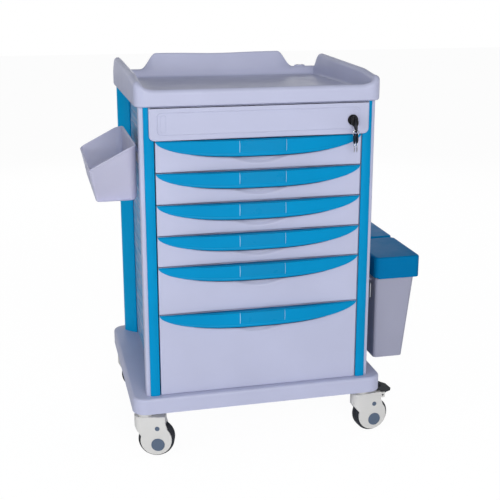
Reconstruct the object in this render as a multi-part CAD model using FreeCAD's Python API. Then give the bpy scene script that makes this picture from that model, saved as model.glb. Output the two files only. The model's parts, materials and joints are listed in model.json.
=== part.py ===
import FreeCAD, Part
import math
import os

# Wheeled ward cabinet: six drawers, top tray with guard rails, side box, two lidded bins, four casters.
# Millimetres. The cabinet's own axes: x right, y back from the plane of the drawer fronts, z up from
# the floor. save() moves everything to the row's origin, the middle of the whole outline on the floor.
V = FreeCAD.Vector
UP = V(0, 0, 1)
BACK = V(0, 1, 0)

# ---- driving dimensions ----
BASE_HALF_W = 352.0
BASE_Y = (-22.0, 560.0)
BASE_Z = (148.0, 192.0)
BASE_CORNER_R = 38.0
BASE_WALL = 10.0
BASE_DECK = 12.0
STEM_IN_BASE = 36.0
TRAY_HALF_W = 325.0
TRAY_Y = (-15.0, 552.0)
TRAY_Z = (973.0, 1016.0)
TRAY_FLOOR_Z = 992.0
TRAY_CORNER_R = 28.0
TRAY_WALL = 17.0
RAIL_PEAK_Z = 1064.0
BACK_RAIL_T = 12.0
OPENING_HALF_W = 277.0          # between the posts
POST_HALF_W = 314.0             # outer faces of the posts
POST_Y = (3.0, 540.0)
POST_SLANT_Y = 28.0             # where a post's outer face turns inward
POST_HOLLOW_Y = (10.0, 40.0)
COLUMN_Z = (BASE_Z[1], TRAY_Z[0])
PANEL_T = 4.0
PANEL_Y = (56.0, 487.0)
RIB_HEIGHT = 1.2
RIB_W = 9.0
RIB_PITCH = 34.0
RIB_COUNT = 22
PANEL_OUT_X = OPENING_HALF_W + PANEL_T + RIB_HEIGHT
BACK_PANEL_Y = 534.0
DRAWER_TOPS = [885.0, 801.5, 718.0, 634.5, 551.0, 419.0]
DRAWER_BOTTOM = 193.0
DRAWER_GAP = 3.0
FRONT_HALF_W = 274.0
FRONT_Y = (-2.0, 12.0)
BOX_HALF_W = 262.0
BOX_END_Y = 470.0
BOX_WALL = 3.0
HANDLE_DROP = 42.5
HANDLE_END_DROP = 11.0
HANDLE_REACH = 20.0
RUNNER_Y = (60.0, 486.0)
RUNNER_ABOVE_BOTTOM = 26.0      # runner centre line above each drawer's lower edge
CHANNEL_X = 265.5
CHANNEL_HALF_H = 13.0
FLANGE_HALF_H = 9.5
FLANGE_PLAY = 1.5
FASCIA_HALF_W = 290.5
FASCIA_Z = (889.0, 972.5)
FASCIA_Y = (-14.0, -4.5)
LOCK_X = 245.0
LOCK_Z = 925.0
CAM_R = 12.0
BAR_X = (271.0, 275.5)
BAR_Y = (18.0, 34.0)
BAR_Z = (206.0, 936.0)
LUG_Z = 60.0                    # each drawer's lug above the drawer's lower edge
PAWL_H = 8.0
PAWL_BELOW_LUG = 6.0
CASTER_X = 314.0
CASTER_Y = (46.0, 500.0)
CASTER_BOSS_R = 18.0
TRAIL = 30.0
WHEEL_R = 50.0
WHEEL_W = 30.0
AXLE_R = 4.0
STEM_R = 6.0
RUNNING_GAP = 0.05
# trail direction of each caster, degrees from +x
CASTERS = {"front_left": (-CASTER_X, CASTER_Y[0], -14.0), "front_right": (CASTER_X, CASTER_Y[0], 6.0),
           "rear_left": (-CASTER_X, CASTER_Y[1], -8.0), "rear_right": (CASTER_X, CASTER_Y[1], -25.0)}
BRAKED = ["front_right", "rear_left"]
HANGER_Y = (75.0, 365.0)
HANGER_Z = 818.0
BIN_RAIL_Z = (408.0, 450.0)
BIN_Y = [(34.0, 238.0), (250.0, 454.0)]
BIN_Z = (222.0, 462.0)
LID_X = (343.0, 476.0)
LID_Z = (462.8, 525.0)
LID_AXIS = (352.0, 515.0)
LID_PIN_R = 2.5
SIDE_BOX_X = (-441.0, -316.0)
SIDE_BOX_Y = (45.0, 400.0)
KEY_GRIP_T = 3.2
GRIP_BOTTOM_Z = LOCK_Z - 29.5
GRIP_BAR = 5.0                  # grip left below its slot, which the ring hangs on
RING_Y = -41.0
RING_R = 8.0
RING_WIRE_R = 0.8
RING_PIVOT_Z = GRIP_BOTTOM_Z + GRIP_BAR / 2
RING_BELOW_PIVOT = 3.9
GRIP_FRONT_Y = -49.738          # the key's grip is the frontmost thing
ORIGIN = V((SIDE_BOX_X[0] + LID_X[1]) / 2, (GRIP_FRONT_Y + BASE_Y[1]) / 2, 0)


# ---- small geometry helpers ----
def block(x, y, z):
    return Part.makeBox(x[1] - x[0], y[1] - y[0], z[1] - z[0], V(x[0], y[0], z[0]))


def rod(radius, start, direction, length):
    return Part.makeCylinder(radius, length, start, direction)


def rounded_wire(x, y, r, z):
    """Rectangle with rounded corners, drawn at height z."""
    corners = [(x[1] - r, y[0] + r, -90), (x[1] - r, y[1] - r, 0),
               (x[0] + r, y[1] - r, 90), (x[0] + r, y[0] + r, 180)]
    arcs = []
    for cx, cy, start in corners:
        points = []
        for turn in (0, 45, 90):
            a = math.radians(start + turn)
            points.append(V(cx + r * math.cos(a), cy + r * math.sin(a), z))
        arcs.append(points)
    edges = []
    for i, arc in enumerate(arcs):
        edges.append(Part.Arc(*arc).toShape())
        following = arcs[(i + 1) % 4]
        if arc[2].distanceToPoint(following[0]) > 1e-6:
            edges.append(Part.LineSegment(arc[2], following[0]).toShape())
    return Part.Wire(edges)


def slab(x, y, z, r):
    return Part.Face(rounded_wire(x, y, r, z[0])).extrude(UP * (z[1] - z[0]))


def tapered(x0, y0, x1, y1, z, r):
    """Solid between a rounded rectangle at z[0] and another at z[1]."""
    return Part.makeLoft([rounded_wire(x0, y0, r, z[0]), rounded_wire(x1, y1, r, z[1])], True, True)


def outline(points):
    """Closed face through points; three points in a tuple make an arc whose ends join the line."""
    edges = []
    last = None
    first = None
    for item in points:
        if isinstance(item, tuple):
            start, middle, end = item
            if last is not None and last.distanceToPoint(start) > 1e-6:
                edges.append(Part.LineSegment(last, start).toShape())
            edges.append(Part.Arc(start, middle, end).toShape())
            first = first or start
            last = end
        else:
            if last is not None:
                edges.append(Part.LineSegment(last, item).toShape())
            first = first or item
            last = item
    if last.distanceToPoint(first) > 1e-6:
        edges.append(Part.LineSegment(last, first).toShape())
    return Part.Face(Part.Wire(edges))


def plan(points, z):
    """Prism of a plan outline given as (x, y) pairs; a list of three pairs is an arc."""
    items = []
    for p in points:
        items.append(tuple(V(q[0], q[1], z[0]) for q in p) if isinstance(p, list) else V(p[0], p[1], z[0]))
    return outline(items).extrude(UP * (z[1] - z[0]))


def front(points, y):
    """Prism of a front outline given as (x, z) pairs."""
    items = []
    for p in points:
        items.append(tuple(V(q[0], y[0], q[1]) for q in p) if isinstance(p, list) else V(p[0], y[0], p[1]))
    return outline(items).extrude(BACK * (y[1] - y[0]))


def side(points, x):
    """Prism of a side outline given as (y, z) pairs."""
    items = []
    for p in points:
        items.append(tuple(V(x[0], q[0], q[1]) for q in p) if isinstance(p, list) else V(x[0], p[0], p[1]))
    return outline(items).extrude(V(x[1] - x[0], 0, 0))


def joined(shapes):
    result = shapes[0].multiFuse(shapes[1:]) if len(shapes) > 1 else shapes[0]
    return result.removeSplitter()


def mirrored(shape):
    """The same piece on the other side of the cabinet."""
    return shape.mirror(V(0, 0, 0), V(1, 0, 0))


def rounded(shape, radius, wanted):
    """Fillet the edges whose middle point passes the test."""
    edges = [e for e in shape.Edges if wanted(e.CenterOfMass)]
    return shape.makeFillet(radius, edges) if edges else shape


# ---- fixed cabinet ----
def base_chassis():
    """Hollow moulded base with four bosses for the caster stems."""
    half = BASE_HALF_W
    body = slab((-half, half), BASE_Y, BASE_Z, BASE_CORNER_R)
    body = rounded(body, 7.0, lambda c: c.z > BASE_Z[1] - 0.1)
    wall = BASE_WALL
    deck = BASE_DECK
    body = body.cut(slab((wall - half, half - wall), (BASE_Y[0] + wall, BASE_Y[1] - wall),
                         (BASE_Z[0] - 1, BASE_Z[1] - deck), BASE_CORNER_R - wall))
    extra = [body]
    for y in (180.0, 360.0):
        extra.append(block((wall - half - 1, half - wall + 1), (y, y + 6), (BASE_Z[0] + 6, BASE_Z[1] - deck)))
    for x, y, angle in CASTERS.values():
        extra.append(rod(CASTER_BOSS_R, V(x, y, BASE_Z[0]), UP, BASE_Z[1] - BASE_Z[0] - deck))
    body = joined(extra)
    for x, y, angle in CASTERS.values():
        body = body.cut(rod(STEM_R, V(x, y, BASE_Z[0] - 1), UP, STEM_IN_BASE + 1))
    return body.cut(frame_screws())


def caster_stems():
    """Threaded stems with their bearing flanges, fixed in the base."""
    stems = []
    for x, y, angle in CASTERS.values():
        stem = rod(STEM_R, V(x, y, 112), UP, BASE_Z[0] - 112 + STEM_IN_BASE)
        stems.append(stem.fuse(rod(22.0, V(x, y, 140), UP, BASE_Z[0] - 140)))
    return Part.makeCompound(stems)


def top_tray():
    """Work top: shallow tray whose rim rises into guard rails at the back and sides."""
    half = TRAY_HALF_W
    wall = TRAY_WALL
    body = slab((-half, half), TRAY_Y, TRAY_Z, TRAY_CORNER_R)
    body = rounded(body, 5.0, lambda c: c.z < TRAY_Z[0] + 0.1)
    y_in = TRAY_Y[1] - wall
    back_rail = front([(-240, 1000), [(-240, 1008), (-229, 1022), (-221, 1036)],
                       [(-205, 1056), (-199, 1062), (-190, RAIL_PEAK_Z)],
                       [(185, RAIL_PEAK_Z), (194, 1062), (200, 1056)],
                       [(216, 1036), (224, 1022), (235, 1008)], (235, 1000)], (y_in, y_in + BACK_RAIL_T))
    rails = [body, back_rail]
    rail_outline = [(-3, 1000), [(-1, 1016), (6, 1032), (22, 1040)], [(474, 1056), (488, 1056), (498, 1048)],
                    [(520, 1024), (527, 1018), (536, 1015)], (536, 1000)]
    for x in ((half - wall, half - 2), (2 - half, wall - half)):
        rails.append(side(rail_outline, x))
    body = joined(rails)
    body = body.cut(slab((wall - half, half - wall), (TRAY_Y[0] + wall, y_in),
                         (TRAY_FLOOR_Z, RAIL_PEAK_Z + 1), TRAY_CORNER_R - wall + 4))
    return body.cut(slab((-262, 262), (64, 476), (TRAY_Z[0] - 1, TRAY_FLOOR_Z - 5), 10.0))


def post_outline(flip):
    """Plan of a right-hand post: flat inner face, rounded outer corner, slanted face towards the panel."""
    def at(x, y):
        return (x, POST_Y[0] + POST_Y[1] - y) if flip else (x, y)
    y0 = POST_Y[0]
    corner = [at(POST_HALF_W - 6, y0), at(POST_HALF_W - 1.8, y0 + 1.8), at(POST_HALF_W, y0 + 6)]
    return [at(OPENING_HALF_W, y0), corner, at(POST_HALF_W, POST_SLANT_Y), at(OPENING_HALF_W + 7, PANEL_Y[0]),
            at(OPENING_HALF_W, PANEL_Y[0])]


def post_pair(flip):
    """Left and right posts as hollow columns between the base and the tray."""
    column = plan(post_outline(flip), COLUMN_Z)
    y = POST_HOLLOW_Y
    if flip:
        y = (POST_Y[0] + POST_Y[1] - y[1], POST_Y[0] + POST_Y[1] - y[0])
    column = column.cut(block((OPENING_HALF_W + 3, POST_HALF_W - 12), y, (COLUMN_Z[0] - 1, COLUMN_Z[1] + 1)))
    right = column
    if not flip:
        for tops in (DRAWER_TOPS[1], DRAWER_TOPS[4]):
            right = joined([right, bar_guide(tops)])
    return Part.makeCompound([right, mirrored(column)])


def bar_guide(z):
    """Staple on the right front post that the lock bar slides through."""
    slide_gap = 0.7
    guide = block((269.0, OPENING_HALF_W + 1), (14.5, 38.0), (z - 1, z + 6))
    return guide.cut(block((BAR_X[0] - slide_gap, BAR_X[1] + slide_gap),
                           (BAR_Y[0] - slide_gap, BAR_Y[1] + slide_gap), (z - 2, z + 7)))


def front_covers():
    """Blue strips on the front faces of the front posts."""
    y0 = POST_Y[0]
    strip = plan([(277.5, y0), (277.5, -1.5), [(278.5, -2.5), (290, -4.2), (301, -2.5)], (303, -1), (303, y0)],
                 COLUMN_Z)
    return Part.makeCompound([strip, mirrored(strip)])


def rear_covers():
    """Blue strips round the slanted inner faces of the rear posts."""
    strip = plan([(314, 527), (317, 525), (317, 514), [(316, 511), (301, 494), (286, 482)],
                  (282, 482), (284, 487), (314, 515)], COLUMN_Z)
    return Part.makeCompound([strip, mirrored(strip)])


def side_panel(sign):
    """Panel with level ribs between the posts of one side."""
    x0 = OPENING_HALF_W
    pieces = [block((x0, x0 + PANEL_T), PANEL_Y, COLUMN_Z)]
    for i in range(RIB_COUNT):
        z = COLUMN_Z[0] + 26 + i * RIB_PITCH
        pieces.append(block((x0 + PANEL_T - 1, PANEL_OUT_X), (PANEL_Y[0] + 8, PANEL_Y[1] - 8),
                            (z, z + RIB_W)))
    panel = joined(pieces)
    return panel if sign > 0 else mirrored(panel)


def back_panel():
    return block((-OPENING_HALF_W, OPENING_HALF_W), (BACK_PANEL_Y, POST_Y[1] - 1), COLUMN_Z)


def lock_fascia():
    """Shallow cover over the lock, with a raised border line and an upright oval."""
    w = FASCIA_HALF_W
    z0, z1 = FASCIA_Z
    r = 14.0
    k = r * (1 - math.sqrt(0.5))
    body = front([(-w, z1), [(-w, z0 + r), (-w + k, z0 + k), (-w + r, z0)],
                  [(w - r, z0), (w - k, z0 + k), (w, z0 + r)], (w, z1)], FASCIA_Y)
    body = joined([body, block((-270, 270), (FASCIA_Y[1] - 1, POST_Y[0]), (z0 + 3, z1 - 2))])
    body = body.cut(block((-266, 266), (FASCIA_Y[0] + 4, POST_Y[0] + 1), (z0 + 7, z1 - 6)))
    ridge = border((-271, 266), (901, 958), 14.0, 3.0)
    oval = border((-263, -247), (907, 953), 7.9, 2.0)
    body = joined([body, ridge, oval])
    return body.cut(rod(11.0, V(LOCK_X, FASCIA_Y[0] - 2, LOCK_Z), BACK, 30))


def border(x, z, r, width):
    """Low raised line round a rounded rectangle on the fascia's face."""
    flat = slab(x, z, (0, 1.6), r)
    flat = flat.cut(slab((x[0] + width, x[1] - width), (z[0] + width, z[1] - width), (-1, 3), r - width))
    flat.rotate(V(0, 0, 0), V(1, 0, 0), 90)
    flat.translate(V(0, FASCIA_Y[0] + 0.6, 0))
    return flat


def lock_barrel():
    body = rod(10.95, V(LOCK_X, FASCIA_Y[0] - 2, LOCK_Z), BACK, 24)
    body = body.fuse(rod(14.0, V(LOCK_X, FASCIA_Y[0] - 3.5, LOCK_Z), BACK, 1.6))
    return body.cut(rod(7.0 + RUNNING_GAP, V(LOCK_X, FASCIA_Y[0] - 5, LOCK_Z), BACK, 40))


def drawer_span(i):
    """Lower and upper edge of drawer i's front."""
    below = DRAWER_TOPS[i + 1] if i < 5 else DRAWER_BOTTOM - DRAWER_GAP
    return below + DRAWER_GAP, DRAWER_TOPS[i]


def drawer_runners():
    """Twelve fixed channels, open towards the drawers."""
    channels = []
    for i in range(6):
        z = drawer_span(i)[0] + RUNNER_ABOVE_BOTTOM
        lip = CHANNEL_HALF_H
        slot = FLANGE_HALF_H + FLANGE_PLAY
        channel = block((CHANNEL_X, OPENING_HALF_W), RUNNER_Y, (z - lip, z + lip))
        channel = channel.cut(block((CHANNEL_X - 1, OPENING_HALF_W - 2.5), (RUNNER_Y[0] - 1, RUNNER_Y[1] - 3),
                                    (z - slot, z + slot)))
        channels += [channel, mirrored(channel)]
    return Part.makeCompound(channels)


def side_box_hanger():
    """Rail on the left panel with an upturned lip for the side box."""
    z = HANGER_Z
    shelf = block((-311, -PANEL_OUT_X), HANGER_Y, (z, z + 4))
    lip = block((-311, -308), HANGER_Y, (z, z + 27))
    plate = block((-286, -PANEL_OUT_X), HANGER_Y, (z - 28, z + 4))
    return joined([shelf, lip, plate])


def bin_rail():
    """Lip bar held off the right panel by two arms."""
    z0, z1 = BIN_RAIL_Z
    pieces = [block((331, 334), (44, 446), BIN_RAIL_Z)]
    for y in (110.0, 330.0):
        pieces.append(block((PANEL_OUT_X, 332), (y, y + 40), (z0, z0 + 18)))
        pieces.append(block((PANEL_OUT_X, 287), (y - 10, y + 50), (z0 - 8, z1 + 10)))
    return joined(pieces)


def frame_screws():
    """Screws up through the base's deck into the posts."""
    screws = []
    deck_z = BASE_Z[1] - BASE_DECK
    for x in (-290.0, 290.0):
        for y in (6.5, 45.0, 498.0, 536.5):
            head = rod(4.0, V(x, y, deck_z - 3), UP, 3)
            screws.append(head.fuse(rod(2.0, V(x, y, deck_z), UP, 10)))
    return Part.makeCompound(screws)


# ---- drawers ----
def drawer_handle(i):
    """Crescent handle: straight top edge, curved lower edge, bowed outward, hollow behind its lip."""
    top = drawer_span(i)[1] - 1
    w = FRONT_HALF_W - 1
    crescent = front([(-w, top), (-w, top - 4), [(-w + 10, top - HANDLE_END_DROP - 6), (0, top - HANDLE_DROP),
                      (w - 10, top - HANDLE_END_DROP - 6)], (w, top - 4), (w, top)], (-30, FRONT_Y[0]))
    bow = plan([(-w - 1, FRONT_Y[0] + 1), (-w - 1, -3), [(-w, -3), (0, -3 - HANDLE_REACH), (w, -3)],
                (w + 1, -3), (w + 1, FRONT_Y[0] + 1)], (top - 60, top + 1))
    handle = crescent.common(bow)
    return handle.cut(block((-95, 95), (-19, FRONT_Y[0] + 1), (top - 60, top - 13)))


def drawer_front(i):
    """Flat front panel with rounded corners."""
    z0, z1 = drawer_span(i)
    panel = slab((-FRONT_HALF_W, FRONT_HALF_W), (z0, z1), (0, FRONT_Y[1] - FRONT_Y[0]), 4.0)
    panel.rotate(V(0, 0, 0), V(1, 0, 0), 90)
    panel.translate(V(0, FRONT_Y[1], 0))
    return panel


def drawer_box(i):
    """Open box with a flange bar on each side and a lug for the lock bar's pawl."""
    z0, z1 = drawer_span(i)
    z = (z0 + 7, z1 - 12)
    body = slab((-BOX_HALF_W, BOX_HALF_W), (FRONT_Y[1], BOX_END_Y), z, 6.0)
    t = BOX_WALL
    body = body.cut(slab((t - BOX_HALF_W, BOX_HALF_W - t), (FRONT_Y[1] + t, BOX_END_Y - t),
                         (z[0] + t, z[1] + 1), 4.0))
    runner_z = z0 + RUNNER_ABOVE_BOTTOM
    pieces = [body]
    for x in ((BOX_HALF_W - 1, 270.0), (-270.0, 1 - BOX_HALF_W)):
        pieces.append(block(x, (RUNNER_Y[0] - 20, BOX_END_Y - 1),
                            (runner_z - FLANGE_HALF_H, runner_z + FLANGE_HALF_H)))
    pieces.append(block((BOX_HALF_W - 1, 269.0), (24, 32), (z0 + LUG_Z, z0 + LUG_Z + 6)))
    return joined(pieces)


# ---- lock ----
def lock_bar():
    """Upright bar with a pawl for each drawer and an arm that the cam lifts."""
    pieces = [block(BAR_X, BAR_Y, BAR_Z)]
    for i in range(6):
        z = drawer_span(i)[0] + LUG_Z - PAWL_BELOW_LUG - PAWL_H
        pieces.append(block((264.5, BAR_X[1]), (15.5, 22), (z, z + PAWL_H)))
    pieces.append(block((236, BAR_X[1]), (18, 22), (913, 938)))
    bar = joined(pieces)
    return bar.cut(block((LOCK_X - 5, LOCK_X + CAM_R + 5), (17, 23), (LOCK_Z - 3.6, LOCK_Z + 6.6)))


def lock_key():
    """Plug, cam with its pin, blade and grip of the key in the lock."""
    plug = rod(7.0, V(LOCK_X, -18, LOCK_Z), BACK, 28)
    cam = joined([rod(7.0, V(LOCK_X, 10, LOCK_Z), BACK, 5), rod(4.5, V(LOCK_X + CAM_R, 10, LOCK_Z), BACK, 5),
                  block((LOCK_X, LOCK_X + CAM_R), (10, 15), (LOCK_Z - 4.5, LOCK_Z + 4.5))])
    pin = rod(3.0, V(LOCK_X + CAM_R, 14, LOCK_Z), BACK, 10)
    blade = block((LOCK_X - 1.2, LOCK_X + 1.2), (-26, -17), (LOCK_Z - 4, LOCK_Z + 4))
    half_t = KEY_GRIP_T / 2
    grip = side([(-24, LOCK_Z + 7), (-40, LOCK_Z + 6),
                 [(-44, LOCK_Z + 3), (-49.5, LOCK_Z - 12), (-47, GRIP_BOTTOM_Z)],
                 (-36, GRIP_BOTTOM_Z), (-24, LOCK_Z - 9)], (LOCK_X - half_t, LOCK_X + half_t))
    slot_half_w = 2.5
    slot_z = (GRIP_BOTTOM_Z + GRIP_BAR, GRIP_BOTTOM_Z + GRIP_BAR + 8.0)
    slot = block((LOCK_X - 5, LOCK_X + 5), (RING_Y - slot_half_w, RING_Y + slot_half_w), slot_z)
    crown = rod(slot_half_w, V(LOCK_X - 5, RING_Y, slot_z[1]), V(1, 0, 0), 10)
    return joined([plug, cam, pin, blade, grip.cut(slot).cut(crown)])


def key_ring():
    """Split ring through the grip, with two spare keys hanging on it."""
    centre = V(LOCK_X, RING_Y, RING_PIVOT_Z - RING_BELOW_PIVOT)
    ring = Part.makeTorus(RING_R, RING_WIRE_R, centre, BACK)
    keys = []
    head_half_w = 7.5
    for offset in (-3.5, 3.5):
        x = LOCK_X + offset
        top = centre.z - math.sqrt(RING_R ** 2 - offset ** 2) + 6.0
        head = side([[(RING_Y - 4, top), (RING_Y - head_half_w, top - 13.5), (RING_Y - 4, top - 27)],
                     [(RING_Y + 4, top - 27), (RING_Y + head_half_w, top - 13.5), (RING_Y + 4, top)]],
                    (x - 1.5, x + 1.5))
        blade = block((x - 1, x + 1), (RING_Y - 3, RING_Y + 3), (top - 49, top - 26))
        hole = rod(2.5, V(x - 5, RING_Y, top - 6), V(1, 0, 0), 10)
        keys.append(joined([head.cut(hole), blade]))
    return Part.makeCompound([ring] + keys)


# ---- side box and bins ----
def side_box():
    """Open box with a slanted rim; its hook hangs on the lip rail."""
    x0, x1 = SIDE_BOX_X
    shell = front([(x1, 872), (x1, 725), [(-408, 725), (-417, 728), (-421, 738)], (x0, 811)], SIDE_BOX_Y)
    t = 3.0
    inner = front([(x1 - t, 890), (x1 - t, 725 + t), (-412, 725 + t),
                   [(-412, 725 + t), (-415, 731), (-418, 739)],
                   (x0 + t, 812), (x0 + t, 890)], (SIDE_BOX_Y[0] + t, SIDE_BOX_Y[1] - t))
    shell = rounded(shell, 9.0, lambda c: c.x < x0 + 30 and 738 < c.z < 812
                    and (c.y < SIDE_BOX_Y[0] + 1 or c.y > SIDE_BOX_Y[1] - 1))
    shell = shell.cut(inner)
    hook_y = (HANGER_Y[0] + 15, HANGER_Y[1] - 15)
    hook = joined([block((-313, -303.5), hook_y, (845.4, 849)),
                   block((-306.5, -303.5), hook_y, (828, 849))])
    bridge = block((x1 - 1, -312), hook_y, (845.4, 849))
    return joined([shell, hook, bridge])


def bin_body(y):
    """Tapered bin with a hook for the rail and two ears for the lid's pins."""
    t = 3.0
    z0, z1 = BIN_Z
    outer = tapered((350, 437), (y[0] + 12, y[1] - 12), (346, 461), (y[0] + 4, y[1] - 4), BIN_Z, 10.0)
    inner = tapered((350 + t, 437 - t), (y[0] + 12 + t, y[1] - 12 - t),
                    (346 + t, 461 - t), (y[0] + 4 + t, y[1] - 4 - t), (z0 + t, z1 + 0.5), 8.0)
    pieces = [outer.cut(inner)]
    pieces.append(joined([block((327, 349.5), (y[0] + 40, y[1] - 40), (450.4, 454)),
                          block((326, 329), (y[0] + 40, y[1] - 40), (430, 454))]))
    ax, az = LID_AXIS
    for ear_y in ear_places(y):
        ear = joined([block((ax - 4.5, ax + 4.5), ear_y, (440, az)),
                      rod(4.5, V(ax, ear_y[0], az), BACK, ear_y[1] - ear_y[0])])
        pieces.append(ear.cut(rod(LID_PIN_R + RUNNING_GAP, V(ax, ear_y[0] - 1, az), BACK, 8)))
    return joined(pieces)


def ear_places(y):
    return [(y[0] + 10.0, y[0] + 14.0), (y[1] - 14.0, y[1] - 10.0)]


def bin_lid(y):
    """Deep cap hinged near its inner top edge, with a pin at each end."""
    t = 3.0
    x0, x1 = LID_X
    body = slab(LID_X, y, LID_Z, 14.0)
    body = rounded(body, 6.0, lambda c: c.z > LID_Z[1] - 0.1)
    body = body.cut(slab((x0 + t, x1 - t), (y[0] + t, y[1] - t), (LID_Z[0] - 1, LID_Z[1] - t - 1), 11.0))
    body = body.cut(block((x0 - 1, LID_AXIS[0] + 1), (y[0] - 1, y[1] + 1), (LID_Z[0] - 1, LID_Z[0] + 2.7)))
    pins = []
    ax, az = LID_AXIS
    for ear_y in ear_places(y):
        body = body.cut(block((x0 - 1, ax - 5), (ear_y[0] - 0.8, ear_y[1] + 0.8),
                              (LID_Z[0] - 1, LID_Z[1] - t - 1)))
    pin_l = ear_places(y)[0][1] - y[0] - t + 2.5
    pins.append(rod(LID_PIN_R, V(ax, y[0] + t - 1, az), BACK, pin_l))
    pins.append(rod(LID_PIN_R, V(ax, y[1] - t + 1, az), -BACK, pin_l))
    return joined([body] + pins)


# ---- casters; each is made with its swivel axis at the origin and its wheel behind it along +x ----
def placed(shape, caster):
    x, y, angle = CASTERS[caster]
    shape.rotate(V(0, 0, 0), UP, angle)
    shape.translate(V(x, y, 0))
    return shape


def caster_fork(caster):
    """Head and closed side covers in one moulding, open below for the wheel."""
    cheek = 22.0
    ring = 43.0
    def on_ring(degrees):
        a = math.radians(degrees)
        return (TRAIL + ring * math.cos(a), WHEEL_R + ring * math.sin(a))
    profile = front([(-31, 119), (-31, 88), on_ring(163), [on_ring(163), on_ring(270), on_ring(402)],
                     (56, 100), (56, 119)], (-cheek, cheek))
    ends = slab((-31, 80), (-cheek, cheek), (0, 120), 13.0)
    nose = joined([rod(cheek, V(-9, 0, 0), UP, 120), block((-9, 90), (-cheek, cheek), (0, 120))])
    body = profile.common(ends).common(nose)
    body = body.cut(rod(WHEEL_R + 3, V(TRAIL, -17, WHEEL_R), BACK, 34))
    body = joined([body, rod(21.0, V(0, 0, 110), UP, 29.5)])
    body = body.cut(rod(STEM_R + RUNNING_GAP, V(0, 0, 105), UP, 40))
    if caster in BRAKED:
        ears = [block((50, 68), (y, y + 4), (101, 117)) for y in (-cheek, cheek - 4)]
        body = joined([body] + ears)
        body = body.cut(rod(3.0 + RUNNING_GAP, V(61, -cheek - 1, 109), BACK, 2 * cheek + 2))
    body = body.cut(rod(AXLE_R, V(TRAIL, -19.5, WHEEL_R), BACK, 39))
    return placed(body, caster)


def caster_axle(caster):
    """Axle pin between the side covers, with the round caps on their outer faces."""
    pieces = [rod(AXLE_R, V(TRAIL, -19.5, WHEEL_R), BACK, 39)]
    for y, way in ((-22.0, -1), (22.0, 1)):
        pieces.append(rod(18.5, V(TRAIL + 5, y, 37), BACK * way, 1.3))
        pieces.append(rod(6.5, V(TRAIL + 4, y, 85), BACK * way, 0.9))
    return placed(Part.makeCompound(pieces), caster)


def caster_hub(caster):
    body = rod(39.0, V(TRAIL, -14, WHEEL_R), BACK, 28)
    body = body.fuse(rod(9.0, V(TRAIL, -16.5, WHEEL_R), BACK, 33))
    return placed(body.cut(rod(AXLE_R + RUNNING_GAP, V(TRAIL, -20, WHEEL_R), BACK, 40)), caster)


def caster_tyre(caster):
    body = rod(WHEEL_R, V(TRAIL, -WHEEL_W / 2, WHEEL_R), BACK, WHEEL_W)
    body = body.makeFillet(5.0, [e for e in body.Edges if e.Closed])
    return placed(body.cut(rod(39.0, V(TRAIL, -20, WHEEL_R), BACK, 40)), caster)


def brake_pedal(caster):
    """Foot lever with its pivot pins, behind the fork."""
    half = 17.0
    lever = front([(44, 123), (47, 131), [(56, 135), (63, 136), (70, 133)], (88, 125), (87, 117), (74, 114),
                   (67, 109), (66, 104), (59, 104), (58, 121)], (-half, half))
    lever = joined([lever, rod(3.0, V(61, -21.5, 109), BACK, 43)])
    return placed(lever, caster)


# ---- output ----
def save(name, shape):
    shape.translate(-ORIGIN)
    shape.exportStep(os.path.join("parts", name + ".step"))
    return shape.BoundBox


def main():
    os.makedirs("parts", exist_ok=True)
    nodes = {"base_chassis": base_chassis(), "caster_stems": caster_stems(), "top_tray": top_tray(),
             "front_posts": post_pair(False), "rear_posts": post_pair(True),
             "front_post_covers": front_covers(), "rear_post_covers": rear_covers(),
             "side_panel_left": side_panel(-1), "side_panel_right": side_panel(1),
             "back_panel": back_panel(), "lock_fascia": lock_fascia(), "lock_barrel": lock_barrel(),
             "drawer_runners": drawer_runners(), "side_box_hanger": side_box_hanger(),
             "bin_rail": bin_rail(), "frame_screws": frame_screws(),
             "lock_bar": lock_bar(), "lock_key": lock_key(), "key_ring": key_ring(),
             "side_box": side_box()}
    for i in range(6):
        nodes[f"drawer_{i + 1}_front"] = drawer_front(i)
        nodes[f"drawer_{i + 1}_handle"] = drawer_handle(i)
        nodes[f"drawer_{i + 1}_box"] = drawer_box(i)
    for place, y in zip(("front", "rear"), BIN_Y):
        nodes[f"bin_{place}"] = bin_body(y)
        nodes[f"bin_lid_{place}"] = bin_lid(y)
    for caster in CASTERS:
        nodes[f"caster_fork_{caster}"] = caster_fork(caster)
        nodes[f"caster_axle_{caster}"] = caster_axle(caster)
        nodes[f"caster_hub_{caster}"] = caster_hub(caster)
        nodes[f"caster_tyre_{caster}"] = caster_tyre(caster)
    for caster in BRAKED:
        nodes[f"brake_pedal_{caster}"] = brake_pedal(caster)
    whole = FreeCAD.BoundBox()
    for name, shape in nodes.items():
        assert shape.isValid(), name
        whole.add(save(name, shape))
    print(len(nodes), "nodes", whole)


main()
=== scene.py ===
import json
import math

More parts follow.
